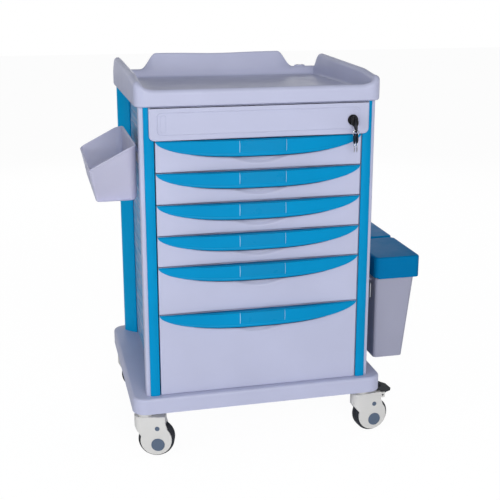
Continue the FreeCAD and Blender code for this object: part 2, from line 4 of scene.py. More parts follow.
import bmesh
import bpy
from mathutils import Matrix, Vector


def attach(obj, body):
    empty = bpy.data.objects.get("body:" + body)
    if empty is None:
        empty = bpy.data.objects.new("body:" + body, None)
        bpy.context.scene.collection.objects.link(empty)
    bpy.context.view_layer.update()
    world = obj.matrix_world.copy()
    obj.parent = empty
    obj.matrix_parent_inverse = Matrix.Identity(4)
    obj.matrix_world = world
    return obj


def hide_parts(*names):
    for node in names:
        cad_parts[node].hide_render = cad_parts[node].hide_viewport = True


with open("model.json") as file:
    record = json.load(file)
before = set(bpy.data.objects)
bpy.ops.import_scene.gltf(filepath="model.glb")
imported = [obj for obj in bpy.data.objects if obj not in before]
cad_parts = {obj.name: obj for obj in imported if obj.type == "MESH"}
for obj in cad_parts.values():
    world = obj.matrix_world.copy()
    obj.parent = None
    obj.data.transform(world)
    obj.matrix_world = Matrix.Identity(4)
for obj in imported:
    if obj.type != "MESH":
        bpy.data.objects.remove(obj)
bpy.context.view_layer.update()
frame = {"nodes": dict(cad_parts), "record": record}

# Sizes below are millimetres in the cabinet's own axes: x right, y back from the drawer fronts, z up.
ORIGIN = (17.5, 255.131, 0.0)           # the row frame's origin in those axes
DRAWER_TOPS = [885.0, 801.5, 718.0, 634.5, 551.0, 419.0]
DRAWER_BOTTOM = 193.0
DRAWER_GAP = 3.0
CASTERS = ("front_left", "front_right", "rear_left", "rear_right")


# ---- procedural materials ----
def shader(name, **constants):
    """A material with a Principled shader whose plain numbers sit on its own sockets."""
    material = bpy.data.materials.new(name)
    material.use_nodes = True
    tree = material.node_tree
    principled = tree.nodes["Principled BSDF"]
    for socket, value in constants.items():
        principled.inputs[socket.replace("_", " ")].default_value = value
    return material, tree, principled


def noise(tree, scale, detail=2.0, stretch=(1.0, 1.0, 1.0)):
    """Noise in the piece's own coordinates, so it stays put as the piece moves. Gives its value socket."""
    place = tree.nodes.new("ShaderNodeTexCoord")
    mapping = tree.nodes.new("ShaderNodeMapping")
    mapping.inputs["Scale"].default_value = stretch
    node = tree.nodes.new("ShaderNodeTexNoise")
    node.inputs["Scale"].default_value = scale
    node.inputs["Detail"].default_value = detail
    tree.links.new(place.outputs["Object"], mapping.inputs["Vector"])
    tree.links.new(mapping.outputs["Vector"], node.inputs["Vector"])
    return node.outputs["Fac"]


def spread(tree, value, lo, hi, start=0.3, end=0.7):
    """A value running from start to end, stretched to run from lo to hi."""
    node = tree.nodes.new("ShaderNodeMapRange")
    node.inputs["From Min"].default_value = start
    node.inputs["From Max"].default_value = end
    node.inputs["To Min"].default_value = lo
    node.inputs["To Max"].default_value = hi
    tree.links.new(value, node.inputs["Value"])
    return node.outputs["Result"]


def blend_colours(tree, factor, first, second):
    """Mix of two colours by a factor. Each colour is plain numbers or another node's socket."""
    node = tree.nodes.new("ShaderNodeMix")
    node.data_type = "RGBA"
    for socket, colour in ((node.inputs[6], first), (node.inputs[7], second)):
        if isinstance(colour, tuple):
            socket.default_value = (*colour, 1.0)
        else:
            tree.links.new(colour, socket)
    tree.links.new(factor, node.inputs[0])
    return node.outputs[2]


def relief(tree, principled, height, strength, depth):
    """Surface bump from a height socket."""
    bump = tree.nodes.new("ShaderNodeBump")
    bump.inputs["Strength"].default_value = strength
    bump.inputs["Distance"].default_value = depth
    tree.links.new(height, bump.inputs["Height"])
    tree.links.new(bump.outputs["Normal"], principled.inputs["Normal"])


def shade(colour, amount):
    return tuple(max(0.0, min(1.0, c * amount)) for c in colour)


def plastic(name, colour, rough=(0.34, 0.44), grain=0.22, tone=0.035, streak=(1.0, 1.0, 1.0), **constants):
    """Moulded plastic: slow change of tone, fine moulding grain, uneven gloss, a few faint scuffs."""
    material, tree, principled = shader(name, **constants)
    slow = spread(tree, noise(tree, 5.0, 3.0, streak), 0.0, 1.0)
    base = blend_colours(tree, slow, shade(colour, 1 - tone), shade(colour, 1 + tone))
    scuffs = spread(tree, noise(tree, 60.0, 5.0, (0.3, 1.0, 1.6)), 0.0, 0.10, 0.62, 0.80)
    tree.links.new(blend_colours(tree, scuffs, base, shade(colour, 1.18)), principled.inputs["Base Color"])
    tree.links.new(spread(tree, noise(tree, 22.0, 4.0), *rough), principled.inputs["Roughness"])
    relief(tree, principled, noise(tree, 900.0, 3.0), grain, 0.00015)
    return material


def metal(name, colour, rough=(0.2, 0.35), stretch=(1.0, 1.0, 14.0), scale=120.0, grain=0.25):
    """Brushed or plated metal with fine drawn lines."""
    material, tree, principled = shader(name, Metallic=1.0)
    lines = noise(tree, scale, 4.0, stretch)
    tree.links.new(blend_colours(tree, lines, shade(colour, 0.85), shade(colour, 1.1)),
                   principled.inputs["Base Color"])
    tree.links.new(spread(tree, lines, *rough), principled.inputs["Roughness"])
    relief(tree, principled, lines, grain, 0.0001)
    return material


def rubber(name, colour):
    """Tyre rubber with a dusty bloom and a matt pebbled skin."""
    material, tree, principled = shader(name)
    dust = spread(tree, noise(tree, 35.0, 5.0), 0.0, 0.5, 0.45, 0.75)
    tree.links.new(blend_colours(tree, dust, colour, shade(colour, 2.2)), principled.inputs["Base Color"])
    tree.links.new(spread(tree, noise(tree, 50.0, 3.0), 0.6, 0.8), principled.inputs["Roughness"])
    relief(tree, principled, noise(tree, 500.0, 4.0), 0.4, 0.0003)
    return material


def ribbed_sheet(name, light, dark):
    """Panel sheet with broken level streaks of a paler tone along its ribs."""
    material, tree, principled = shader(name)
    fibres = spread(tree, noise(tree, 14.0, 4.0, (1.0, 1.0, 5.0)), 0.0, 1.0, 0.40, 0.62)
    weave = tree.nodes.new("ShaderNodeTexWave")
    weave.wave_type = "BANDS"
    weave.bands_direction = "Z"
    weave.inputs["Scale"].default_value = 18.5
    weave.inputs["Distortion"].default_value = 0.8
    place = tree.nodes.new("ShaderNodeTexCoord")
    tree.links.new(place.outputs["Object"], weave.inputs["Vector"])
    mixed = tree.nodes.new("ShaderNodeMath")
    mixed.operation = "MULTIPLY"
    tree.links.new(fibres, mixed.inputs[0])
    tree.links.new(spread(tree, weave.outputs["Fac"], 0.25, 1.0, 0.3, 0.9), mixed.inputs[1])
    tree.links.new(blend_colours(tree, mixed.outputs[0], dark, light), principled.inputs["Base Color"])
    tree.links.new(spread(tree, fibres, 0.42, 0.6, 0.0, 1.0), principled.inputs["Roughness"])
    relief(tree, principled, mixed.outputs[0], 0.35, 0.0004)
    return material


LAVENDER = (0.465, 0.49, 0.66)
BLUE = (0.0, 0.255, 0.53)
SATIN = {"rough": (0.38, 0.48), "Specular_IOR_Level": 0.35}
SOFTER_SATIN = {"rough": (0.38, 0.5), "Specular_IOR_Level": 0.35}
MILKY = {"Subsurface_Weight": 0.6, "Subsurface_Scale": 0.03, "Subsurface_Radius": (1.0, 1.0, 1.1)}
STRONG = {"rough": (0.34, 0.44), "tone": 0.05, "Specular_IOR_Level": 0.06}
body_plastic = plastic("body_plastic", LAVENDER, **SATIN)
box_plastic = plastic("box_plastic", (0.45, 0.455, 0.65), **SOFTER_SATIN, **MILKY)
bin_plastic = plastic("bin_plastic", (0.33, 0.34, 0.45), **SOFTER_SATIN)
blue_plastic = plastic("blue_plastic", BLUE, **STRONG)
# Brighter copy of the blue for the rear post covers: painted light, standing in for the light their sides
# catch.
rear_blue_painted_light = plastic("rear_blue_painted_light", (0.0, 0.34, 0.67), **STRONG)
window_plastic = plastic("window_plastic", shade(BLUE, 0.93), rough=(0.26, 0.36), tone=0.05,
                         Specular_IOR_Level=0.12)
# Pale blue for the strips at the label window's ends: painted highlight on the window's edges.
painted_glint_plastic = plastic("painted_glint_plastic", (0.40, 0.62, 0.82), rough=(0.3, 0.4))
# Dark navy, made with the rubber shader, for the bead under each handle's lip: painted shade for the shadow
# beneath the lip.
painted_shade_navy = rubber("painted_shade_navy", (0.0, 0.035, 0.09))
lid_plastic = plastic("lid_plastic", (0.0, 0.165, 0.395), rough=(0.36, 0.46), tone=0.05,
                      Specular_IOR_Level=0.04)
panel_plastic = ribbed_sheet("panel_plastic", (0.42, 0.47, 0.65), (0.10, 0.34, 0.60))
drawer_inside = plastic("drawer_inside", (0.56, 0.56, 0.68), rough=(0.45, 0.55))
caster_plastic = plastic("caster_plastic", (0.66, 0.66, 0.65), rough=(0.36, 0.46))
cap_slate = plastic("cap_slate", (0.09, 0.13, 0.20), rough=(0.3, 0.4))
hub_grey = plastic("hub_grey", (0.33, 0.34, 0.36), rough=(0.4, 0.5))
pedal_black = plastic("pedal_black", (0.02, 0.023, 0.028), rough=(0.45, 0.55))
key_black = plastic("key_black", (0.010, 0.010, 0.012), rough=(0.32, 0.42), Specular_IOR_Level=0.22)
zinc_steel = metal("zinc_steel", (0.60, 0.61, 0.63), rough=(0.3, 0.45))
chrome_metal = metal("chrome_metal", (0.74, 0.74, 0.75), rough=(0.12, 0.22), grain=0.1)
tyre_black = rubber("tyre_black", (0.012, 0.015, 0.022))
SLOT_MATERIALS = {"body_plastic": body_plastic, "blue_plastic": blue_plastic, "lid_plastic": lid_plastic,
                  "panel_plastic": panel_plastic, "zinc_steel": zinc_steel, "chrome_metal": chrome_metal,
                  "key_black": key_black, "caster_plastic": caster_plastic, "cap_slate": cap_slate,
                  "hub_grey": hub_grey, "tyre_black": tyre_black, "pedal_black": pedal_black}


# ---- carried CAD nodes: finish, and softened edges ----
def soften(obj, width, segments=2):
    """Round the sharp edges of a tessellated solid without touching its mesh."""
    weld = obj.modifiers.new("weld", "WELD")
    weld.merge_threshold = 0.00001
    flat = obj.modifiers.new("flat", "DECIMATE")
    flat.decimate_type = "DISSOLVE"
    flat.angle_limit = math.radians(0.6)
    bevel = obj.modifiers.new("bevel", "BEVEL")
    bevel.width = width / 1000
    bevel.segments = segments
    bevel.limit_method = "ANGLE"
    bevel.angle_limit = math.radians(32)
    even(obj)


def even(obj):
    """Flat faces keep flat shading beside rounded edges."""
    normals = obj.modifiers.new("normals", "WEIGHTED_NORMAL")
    normals.weight = 60
    normals.keep_sharp = False


SOFT_WIDTHS = {"base_chassis": 2.0, "front_posts": 1.6, "rear_posts": 1.6, "front_post_covers": 0.9,
               "rear_post_covers": 0.7, "side_panel_left": 0.5, "side_panel_right": 0.5, "back_panel": 1.2,
               "bin_front": 1.0, "bin_rear": 1.0, "bin_rail": 0.8, "side_box_hanger": 0.8,
               "drawer_runners": 0.5, "lock_bar": 0.5, "lock_key": 0.9, "brake_pedal_front_right": 1.2,
               "brake_pedal_rear_left": 1.2}
for place in CASTERS:
    SOFT_WIDTHS[f"caster_fork_{place}"] = 2.2
# The rear post covers get the brighter, painted-light copy of the blue.
NODE_MATERIALS = {"lock_barrel": key_black, "rear_post_covers": rear_blue_painted_light,
                  "bin_front": bin_plastic, "bin_rear": bin_plastic}
for number in range(1, 7):
    SOFT_WIDTHS[f"drawer_{number}_box"] = 0.9
    NODE_MATERIALS[f"drawer_{number}_box"] = drawer_inside
node_slot = {part["node"]: part["material_slot"] for part in frame["record"]["subparts"]}
for node, obj in frame["nodes"].items():
    finish = NODE_MATERIALS.get(node, SLOT_MATERIALS[node_slot[node]])
    obj.data.materials.clear()
    obj.data.materials.append(finish)
    if node in SOFT_WIDTHS:
        soften(obj, SOFT_WIDTHS[node])


# ---- mesh building ----
def metres(p):
    """Cabinet millimetres to the row frame's metres."""
    return tuple((p[i] - ORIGIN[i]) / 1000 for i in range(3))


def piece(name, points, faces, body, material, slot, replaces=()):
    """A smooth mesh object that rides on a body."""
    mesh = bpy.data.meshes.new(name)
    mesh.from_pydata([metres(p) for p in points], [], faces)
    tidy = bmesh.new()
    tidy.from_mesh(mesh)
    bmesh.ops.remove_doubles(tidy, verts=tidy.verts, dist=0.00001)
    bmesh.ops.recalc_face_normals(tidy, faces=tidy.faces)
    for face in tidy.faces:
        face.smooth = True
    tidy.to_mesh(mesh)
    tidy.free()
    mesh.materials.append(material)
    obj = bpy.data.objects.new(name, mesh)
    bpy.context.scene.collection.objects.link(obj)
    even(obj)
    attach(obj, body)
    if replaces:
        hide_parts(*replaces)
    return obj


def loft(rings, closed=True, capped=True):
    """Faces between rings of the same number of points, with a cap on the first and the last."""
    count = len(rings[0])
    points = [p for ring in rings for p in ring]
    faces = []
    for r in range(len(rings) - 1):
        for i in range(count if closed else count - 1):
            j = (i + 1) % count
            faces.append((r * count + i, r * count + j, (r + 1) * count + j, (r + 1) * count + i))
    if capped:
        faces.append(tuple(range(count)))
        last = (len(rings) - 1) * count
        faces.append(tuple(range(last + count - 1, last - 1, -1)))
    return points, faces


def together(*meshes):
    """Several meshes as one."""
    points, faces = [], []
    for some_points, some_faces in meshes:
        faces += [tuple(i + len(points) for i in f) for f in some_faces]
        points += some_points
    return points, faces


def rounded_rectangle(x, y, radii, steps=7):
    """Outline going anticlockwise from the lower right corner; one radius for each corner."""
    corners = [(x[1], y[0], -90), (x[1], y[1], 0), (x[0], y[1], 90), (x[0], y[0], 180)]
    points = []
    for (cx, cy, start), r in zip(corners, radii):
        mx = cx - r if cx == x[1] else cx + r
        my = cy - r if cy == y[1] else cy + r
        for k in range(steps + 1):
            a = math.radians(start + 90 * k / steps)
            points.append((mx + r * math.cos(a), my + r * math.sin(a)))
    return points


def oval(centre, radii, step):
    """Outline of an oval, with a point every step degrees."""
    turns = [math.radians(a) for a in range(0, 360, step)]
    return [(centre[0] + radii[0] * math.cos(a), centre[1] + radii[1] * math.sin(a)) for a in turns]


def inset(outline, d):
    """The outline moved inwards by d."""
    moved = []
    for i, (x, y) in enumerate(outline):
        x0, y0 = outline[i - 1]
        x1, y1 = outline[(i + 1) % len(outline)]
        a = Vector((x - x0, y - y0)).normalized()
        b = Vector((x1 - x, y1 - y)).normalized()
        along = (a + b).normalized() if (a + b).length > 1e-6 else a
        cosine = max(0.35, a.dot(along) if a.length > 0 else 1.0)
        moved.append((x - along.y * d / cosine, y + along.x * d / cosine))
    return moved


def pillow(outline, lo, hi, edge, put, steps=4):
    """Prism of an outline between two levels with rounded rims; put(u, v, w) gives the point in space."""
    rings = []
    turns = [math.pi / 2 * k / steps for k in range(steps + 1)]
    for a in turns:
        shrink, level = edge * (1 - math.sin(a)), lo + edge * (1 - math.cos(a))
        rings.append([put(u, v, level) for u, v in inset(outline, shrink)])
    for a in reversed(turns):
        shrink, level = edge * (1 - math.sin(a)), hi - edge * (1 - math.cos(a))
        rings.append([put(u, v, level) for u, v in inset(outline, shrink)])
    return loft(rings)


def facing_front(u, v, w):
    """Upright outline, with w coming out of the front."""
    return (u, -w, v)


def facing_up(u, v, w):
    """Level outline, with w going up."""
    return (u, v, w)


def smooth_step(t):
    """Soft change from 0 to 1 as t goes from 0 to 1."""
    t = max(0.0, min(1.0, t))
    return t * t * (3 - 2 * t)


BEAD_SIDES = 8


def bead(name, path, radius, body, material, slot, cyclic=True, flatten=1.0):
    """A raised line: a rounded tube along a path of points, half sunk in the face it lies on."""
    rings = []
    count = len(path)
    out = Vector((0, -1, 0))
    for i, p in enumerate(path):
        before = Vector(path[i - 1] if cyclic or i else p)
        after = Vector(path[(i + 1) % count] if cyclic or i < count - 1 else p)
        across = (after - before).normalized().cross(out).normalized()
        ring = []
        for k in range(BEAD_SIDES):
            a = 2 * math.pi * k / BEAD_SIDES
            level = out * radius * flatten * math.sin(a)
            ring.append(tuple(Vector(p) + across * radius * math.cos(a) + level))
        rings.append(ring)
    if cyclic:
        rings.append(rings[0])
    points, faces = loft(rings, capped=not cyclic)
    return piece(name, points, faces, body, material, slot)


# ---- top tray ----
TRAY_X, TRAY_Y, TRAY_R = (-325.0, 325.0), (-15.0, 552.0), 28.0
TRAY_UNDER, TRAY_FLOOR, RIM = 973.0, 992.0, 1016.0
WALL = 21.5                             # thickness of the side rails and of the rim
BACK_RAIL_TOP, BACK_RAIL_T, BACK_RAIL_SET_IN = 1063.5, 9.0, 4.0
SIDE_RAIL_H, SIDE_RAIL_CLIMB = 28.0, 14.0
CORNER_H, CORNER_RUN = 21.0, 72.0       # height at a front corner, and the way in which it dies away
SOCKET_X, SOCKET_Y = 262.0, 545.4


def rise(t):
    """S-curve of a rail's shoulder, hollow at the foot and round at the top."""
    t = max(0.0, min(1.0, t))
    return 0.5 - 0.5 * math.cos(math.pi * t ** 1.08)


def back_rail_height(x):
    """Two shoulders and a shallow dip between them."""
    shoulder = rise((x + 243) / 50) if x < 0 else rise((238 - x) / 50)
    dip = 3.2 * math.exp(-((x + 5) / 95) ** 2)
    return (BACK_RAIL_TOP - RIM - dip) * shoulder


def side_rail_height(y):
    """A straight top that climbs to the back, with a round shoulder there and a soft fall in front."""
    climb = SIDE_RAIL_H + SIDE_RAIL_CLIMB * max(0.0, min(1.0, (y - 13) / 460))
    return climb * rise((545 - y) / 62) * (1 - 0.25 * (1 - smooth_step((y - 13) / 110)))


def corner_rail_height(x, inward):
    """The side rails carry on round the front corners and die away along the front rim."""
    way = TRAY_R * math.acos(min(1.0, abs(inward[0]))) + max(0.0, TRAY_X[1] - TRAY_R - abs(x))
    return CORNER_H * (1 - smooth_step(way / CORNER_RUN)) ** 1.2


def tray_stations():
    """Places round the rim: x, y and the inward direction there."""
    (x0, x1), (y0, y1), r = TRAY_X, TRAY_Y, TRAY_R
    stations = []

    def straight(ax, ay, bx, by, inward, count):
        for k in range(count):
            t = k / count
            stations.append((ax + (bx - ax) * t, ay + (by - ay) * t, inward))

    def corner(cx, cy, start, count=9):
        for k in range(count):
            a = math.radians(start + 90 * k / count)
            stations.append((cx + r * math.cos(a), cy + r * math.sin(a), (-math.cos(a), -math.sin(a))))

    straight(x0 + r, y0, x1 - r, y0, (0, 1), 60)
    corner(x1 - r, y0 + r, -90)
    straight(x1, y0 + r, x1, y1 - r, (-1, 0), 60)
    corner(x1 - r, y1 - r, 0)
    straight(x1 - r, y1, x0 + r, y1, (0, -1), 110)
    corner(x0 + r, y1 - r, 90)
    straight(x0, y1 - r, x0, y0 + r, (1, 0), 60)
    corner(x0 + r, y0 + r, 180)
    return stations


def tray_section(x, y, inward):
    """Wall of the tray at one place, from the recess under it over the rim to the floor."""
    set_in, width = 0.0, WALL
    if inward[1] < -0.7:
        height, set_in, width = back_rail_height(x), BACK_RAIL_SET_IN, BACK_RAIL_T
    elif y < TRAY_Y[0] + TRAY_R:
        height = corner_rail_height(x, inward)
    else:
        height = side_rail_height(y)
    raised = smooth_step(height / 20)
    set_in *= raised
    width = WALL + (width - WALL) * raised
    top = RIM + height
    r = width / 2
    shelf = min(1008.5, top - r - 0.6)
    points = [(15, 985), (14, TRAY_UNDER + 1), (12.5, TRAY_UNDER), (6, TRAY_UNDER), (2.6, TRAY_UNDER + 0.8),
              (0.7, TRAY_UNDER + 2.8), (0, TRAY_UNDER + 6), (0, 1000), (0, shelf),
              (set_in * 0.5, shelf + (top - r - shelf) * 0.22)]
    for k in range(9):
        a = math.pi * (1 - k / 8)
        points.append((set_in + r + r * math.cos(a), top - r + r * math.sin(a)))
    foot = 1015.5 if raised > 0.5 else top - r - 0.8
    points += [(WALL + 0.1 * raised, foot), (WALL + 0.4, 1006), (WALL + 0.8, 1000), (WALL + 1.6, 996.4),
               (WALL + 3.6, 993.6), (WALL + 6.6, 992.3), (WALL + 10.5, TRAY_FLOOR)]
    return [(x + inward[0] * d, y + inward[1] * d, z) for d, z in points]


sections = [tray_section(*s) for s in tray_stations()]
rings = [list(ring) for ring in zip(*sections)]
piece("tray", *loft(rings), "cabinet", body_plastic, "body_plastic", ("top_tray",))
pad = rounded_rectangle((-292, 292), (20, 514), (16, 16, 16, 16))
piece("tray_floor_pad", *pillow(pad, TRAY_FLOOR - 0.6, TRAY_FLOOR + 0.8, 0.7, facing_up), "cabinet",
      body_plastic, "body_plastic")
socket = oval((SOCKET_X, SOCKET_Y), (17, 6.2), 15)
piece("tray_socket_boss", *pillow(socket, 1012, 1019.5, 2.0, facing_up), "cabinet", body_plastic,
      "body_plastic")
for hole_x in (SOCKET_X - 8, SOCKET_X + 8):
    hole = oval((hole_x, SOCKET_Y), (3.2, 3.2), 20)
    piece(f"tray_socket_plug_{int(hole_x)}", *pillow(hole, 1018, 1020.2, 0.6, facing_up), "cabinet",
          hub_grey, "hub_grey")


# ---- lock fascia ----
LINE_Y = -13.9                          # middle of the raised lines, 0.1 mm inside the fascia's face

fascia = rounded_rectangle((-290.5, 290.5), (887.4, 972.5), (14, 0.8, 0.8, 14))
piece("fascia", *pillow(fascia, 4.5, 14.0, 3.2, facing_front), "cabinet", body_plastic, "body_plastic",
      ("lock_fascia",))
inner_body = rounded_rectangle((-270, 270), (892, 970.5), (2, 2, 2, 2))
piece("fascia_rib_frame", *pillow(inner_body, -3.0, 6.0, 1.0, facing_front), "cabinet", body_plastic,
      "body_plastic")
line = [(u, LINE_Y, v) for u, v in rounded_rectangle((-270, 265), (901.5, 957.5), (11, 11, 11, 11), 8)]
bead("fascia_border_line", line, 1.25, "cabinet", body_plastic, "body_plastic", flatten=0.8)
slot_outline = rounded_rectangle((-262.5, -247.5), (908, 952), (7.4, 7.4, 7.4, 7.4), 8)
slot_line = [(u, LINE_Y, v) for u, v in slot_outline]
bead("fascia_oval_left", slot_line, 0.95, "cabinet", body_plastic, "body_plastic", flatten=0.8)
half_oval = [(252 + 7.5 * math.cos(a), LINE_Y, 945 + 7.5 * math.sin(a))
             for a in (math.radians(15 * k) for k in range(0, 13))]
bead("fascia_oval_right", half_oval, 0.95, "cabinet", body_plastic, "body_plastic", cyclic=False,
     flatten=0.8)


# ---- drawers ----
FRONT_W, FRONT_FACE_Y, FRONT_BACK_Y = 275.0, -2.0, 12.0
FRONT_ROUND = 3.0
HANDLE_W, HANDLE_DROP, HANDLE_REACH = 274.2, 44.5, 19.6
SCOOP_HALF_W, SCOOP_LOW, SCOOP_DEEP = 118.0, 67.0, 6.0
LABEL_X = (-60.0, 64.0)
LABEL_RECESS = 0.6
UNDERSIDE_X = 185.0


def edge_round(d, r):
    """How far a face falls back at distance d from its rim, for an edge of radius r."""
    return r - math.sqrt(max(0.0, r * r - (r - d) ** 2)) if d < r else 0.0


def scoop_depth(x, below):
    """Shallow finger scoop under the handle: a crescent dish that fades into the face."""
    reach = 1 - (x / SCOOP_HALF_W) ** 2
    if reach <= 0:
        return 0.0
    low = SCOOP_LOW * reach ** 0.6
    return SCOOP_DEEP * smooth_step((low - below) / 8) * smooth_step(reach * 3)


def grid_lines(lo, hi, step, r):
    """Even lines from lo to hi, closer where an edge of radius r rounds off."""
    lines = [lo + r * f for f in (0.0, 0.12, 0.35, 0.65, 1.0)]
    count = max(2, round((hi - lo - 2 * r) / step))
    lines += [lo + r + (hi - lo - 2 * r) * k / count for k in range(1, count)]
    return lines + [hi - r * f for f in (1.0, 0.65, 0.35, 0.12, 0.0)]


def drawer_front(number, z0, z1):
    """Face with rounded rims and the scoop, closed behind."""
    xs = grid_lines(-FRONT_W, FRONT_W, 7.0, FRONT_ROUND)
    zs = grid_lines(z0, z1, 3.5, FRONT_ROUND)
    points, faces = [], []
    for z in zs:
        for x in xs:
            fall = edge_round(min(x + FRONT_W, FRONT_W - x), FRONT_ROUND)
            fall += edge_round(min(z - z0, z1 - z), FRONT_ROUND)
            points.append((x, FRONT_FACE_Y + min(fall, 4.5) + scoop_depth(x, z1 - z), z))
    wide = len(xs)
    for j in range(len(zs) - 1):
        for i in range(wide - 1):
            a = j * wide + i
            faces.append((a, a + 1, a + wide + 1, a + wide))
    rim = list(range(wide)) + [j * wide + wide - 1 for j in range(1, len(zs))]
    rim += [(len(zs) - 1) * wide + i for i in range(wide - 2, -1, -1)]
    rim += [j * wide for j in range(len(zs) - 2, 0, -1)]
    base = len(points)
    for index in rim:
        x, _, z = points[index]
        points.append((x, FRONT_BACK_Y, z))
    for k in range(len(rim)):
        n = (k + 1) % len(rim)
        faces.append((rim[k], rim[n], base + n, base + k))
    faces.append(tuple(base + k for k in range(len(rim) - 1, -1, -1)))
    return piece(f"drawer_{number}_face", points, faces, f"drawer_{number}", body_plastic, "body_plastic",
                 (f"drawer_{number}_front",))


def handle_drop(x):
    """Depth of the crescent at x: steep and round at the ends, then a long gentle curve."""
    return max(3.5, HANDLE_DROP * (1 - min(1.0, abs(x) / HANDLE_W) ** 3) ** 0.55)


def handle_face_y(x):
    """The handle's face bows out towards its middle."""
    return -3.0 - HANDLE_REACH * (1 - (x / HANDLE_W) ** 2)


def handle_section(x, top, recess):
    """Closed outline across the handle at x: top edge, face, crease, rolled lip, inside."""
    drop, front, back = handle_drop(x), handle_face_y(x), FRONT_FACE_Y
    scale = min(1.0, drop / 30)
    lip = 2.2 * scale
    hollow = smooth_step((97 - abs(x)) / 12)
    inner = back + (min(-2.4, front + 5.0) - back) * hollow
    under = min(back - 0.1, front + 6.5 * scale)
    rows = [(back, top), (min(back - 0.1, front + 2.6), top), (min(back - 0.2, front + 0.8), top - 0.7),
            (min(back - 0.3, front), top - 2.4)]
    for t in (0.04, 0.06, 0.13, 0.3, 0.5, 0.66, 0.71, 0.74, 0.78):
        sunk = recess if 0.05 < t < 0.72 else 0.0
        rows.append((min(back - 0.3, front + 1.6 * t * scale + sunk), top - t * drop))
    for proud, t, gap in ((2.1, 0.805, 0.3), (0.9, 0.84, 0.3), (0.5, 0.90, 0.3), (1.4, 0.955, 0.3),
                          (3.4, 0.99, 0.2)):
        rows.append((min(back - gap, front + proud * scale), top - t * drop))
    low = top - drop
    rows += [(under, low), (min(back, (under + inner) / 2 + 0.4), low + lip * 0.4), (inner, low + lip)]
    if hollow > 0:
        rows += [(inner, top - 13.5), (back, top - 13.0)]
    else:
        rows += [(inner, low + lip + 0.5), (back, low + lip + 0.9)]
    return [(x, y, z) for y, z in rows]


def handle_grip(number, top):
    """The crescent, with closer sections at its ends and at the label's edges."""
    ends = [HANDLE_W - d for d in (0.0, 0.3, 0.8, 1.6, 2.8, 4.4, 6.4, 8.8, 11.6, 14.8)]
    plain = [-x for x in ends] + ends + [-258 + 516 * k / 72 for k in range(73)]
    at_label = [edge + side for edge in LABEL_X for side in (-0.3, 0.3)]
    xs = sorted([x for x in plain if min(abs(x - edge) for edge in LABEL_X) > 0.5] + at_label)
    rings = []
    for x in xs:
        rings.append(handle_section(x, top, LABEL_RECESS if LABEL_X[0] < x < LABEL_X[1] else 0.0))
    body = f"drawer_{number}"
    piece(f"{body}_grip", *loft(rings), body, blue_plastic, "blue_plastic", (f"{body}_handle",))


def label_window(number, top):
    """Blank window laid in the handle's recess."""
    profile = ((0.045, 0.5), (0.07, 0.12), (0.4, 0.12), (0.70, 0.12), (0.725, 0.5), (0.725, 1.6),
               (0.045, 1.6))
    rings = []
    for k in range(25):
        x = LABEL_X[0] + 1.0 + (LABEL_X[1] - LABEL_X[0] - 2.0) * k / 24
        front, drop = handle_face_y(x), handle_drop(x)
        rings.append([(x, front + 1.6 * t + sunk, top - t * drop) for t, sunk in profile])
    body = f"drawer_{number}"
    piece(f"{body}_label_window", *loft(rings), body, window_plastic, "blue_plastic")


def label_glint_strip(number, top, side, edge, width):
    """Pale bent strip at one end of the label window: a painted highlight where the window's edge catches
    the light.
    """
    rings = []
    for k in range(9):
        t = 0.05 + 0.70 * k / 8
        x = edge + 1.6 * (t - 0.4) + 0.5 * math.sin(t * 5)
        y = handle_face_y(x) + 1.6 * t
        z = top - t * handle_drop(x)
        taper = width * (0.55 + 0.45 * math.sin(math.pi * k / 8))
        rings.append([(x - taper / 2, y + 0.5, z), (x - taper / 4, y - 0.35, z),
                      (x + taper / 4, y - 0.35, z), (x + taper / 2, y + 0.9, z)])
    body = f"drawer_{number}"
    piece(f"{body}_label_painted_glint_{side}", *loft(rings), body, painted_glint_plastic, "blue_plastic")


def grip_shade_bead(number, top):
    """Dark bead under the handle's lip, which sinks into the handle at both ends: painted shade standing in
    for the shadow under the lip.
    """
    path = []
    for k in range(41):
        x = -UNDERSIDE_X + 2 * UNDERSIDE_X * k / 40
        sink = 1.9 * (abs(x) / UNDERSIDE_X) ** 3
        path.append((x, handle_face_y(x) + 3.4, top - handle_drop(x) - 0.2 + sink))
    body = f"drawer_{number}"
    bead(f"{body}_grip_shade_bead", path, 1.5, body, painted_shade_navy, "blue_plastic", cyclic=False)


def drawer_handle(number, top):
    handle_grip(number, top)
    label_window(number, top)
    # The left strip is wider because the painted highlight is stronger on that side.
    label_glint_strip(number, top, "left", LABEL_X[0], 2.1)
    label_glint_strip(number, top, "right", LABEL_X[1], 1.3)
    grip_shade_bead(number, top)


for number, top in enumerate(DRAWER_TOPS, 1):
    below = DRAWER_TOPS[number] if number < 6 else DRAWER_BOTTOM - DRAWER_GAP
    drawer_front(number, below + DRAWER_GAP - 0.8, top + 0.7)
    drawer_handle(number, top + 0.4)


# ---- side box ----
BOX_IN_X, BOX_Y, BOX_BOTTOM = -316.0, (45.0, 400.0), 725.0
BOX_DEPTH = 125.0                       # its plan is drawn this deep, then drawn in to its real reach
BOX_RIM, BOX_RIM_FALL, BOX_RIM_BOW = 869.0, 61.0, 8.0


def side_box_ring(v, d):
    """Ring at share v of the height, d inside the outer skin."""
    outline = rounded_rectangle((0.0, BOX_DEPTH), BOX_Y, (24, 24, 10, 10), 8)
    foot = BOX_BOTTOM + (d if 0.011 < v < 0.5 else 0.0) * 0.6
    points = []
    for a, y in inset([(BOX_DEPTH - u, y) for u, y in reversed(outline)], d):
        share = a / BOX_DEPTH
        z_top = BOX_RIM - BOX_RIM_FALL * share + BOX_RIM_BOW * math.sin(math.pi * share)
        z = foot + v * (z_top - BOX_BOTTOM)
        reach = 108.0 + 16.0 * max(0.0, min(1.0, (z - 730) / 80))
        points.append((BOX_IN_X - share * reach, y, z))
    return points


